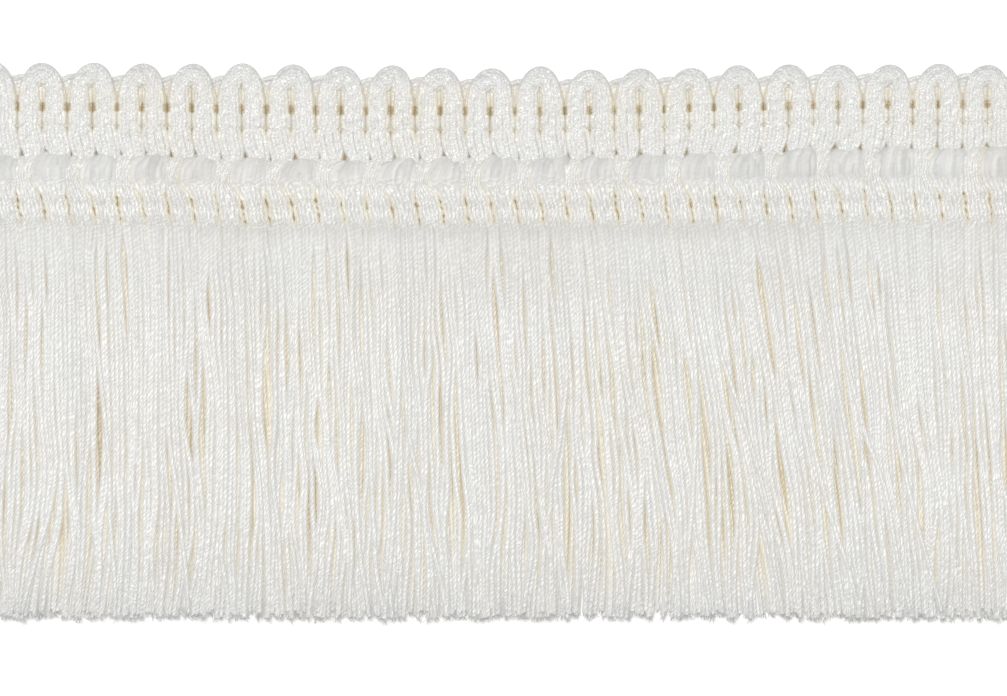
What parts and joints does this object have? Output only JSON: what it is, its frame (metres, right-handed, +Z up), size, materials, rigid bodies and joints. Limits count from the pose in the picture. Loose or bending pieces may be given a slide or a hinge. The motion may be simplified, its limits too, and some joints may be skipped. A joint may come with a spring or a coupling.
{
  "type": "cut brush fringe trim",
  "caption": "Straight length of soft cut brush fringe with a looped gimp heading, sewn along an edge by its flat back.",
  "frame": {"origin": "centre of the trim in plan, on the surface that it lies on", "axes": "+X along the trim, +Y from the cut strands to the scalloped loops, +Z up out of the trim's face"},
  "size_m": [0.1186, 0.06, 0.0045],
  "materials": {
    "loop_cord": "lustrous twisted viscose yarn",
    "fringe_yarn": "lustrous twisted viscose yarn, cut ends",
    "binding_thread": "fine soft viscose thread"
  },
  "bodies": {
    "root": {"front_loop_cord": "loop_cord", "back_loop_cord": "loop_cord", "fringe_skirt": "fringe_yarn", "binding_thread_upper": "binding_thread", "binding_thread_middle": "binding_thread", "binding_thread_lower": "binding_thread", "binding_thread_foot": "binding_thread"}
  },
  "joints": []
}
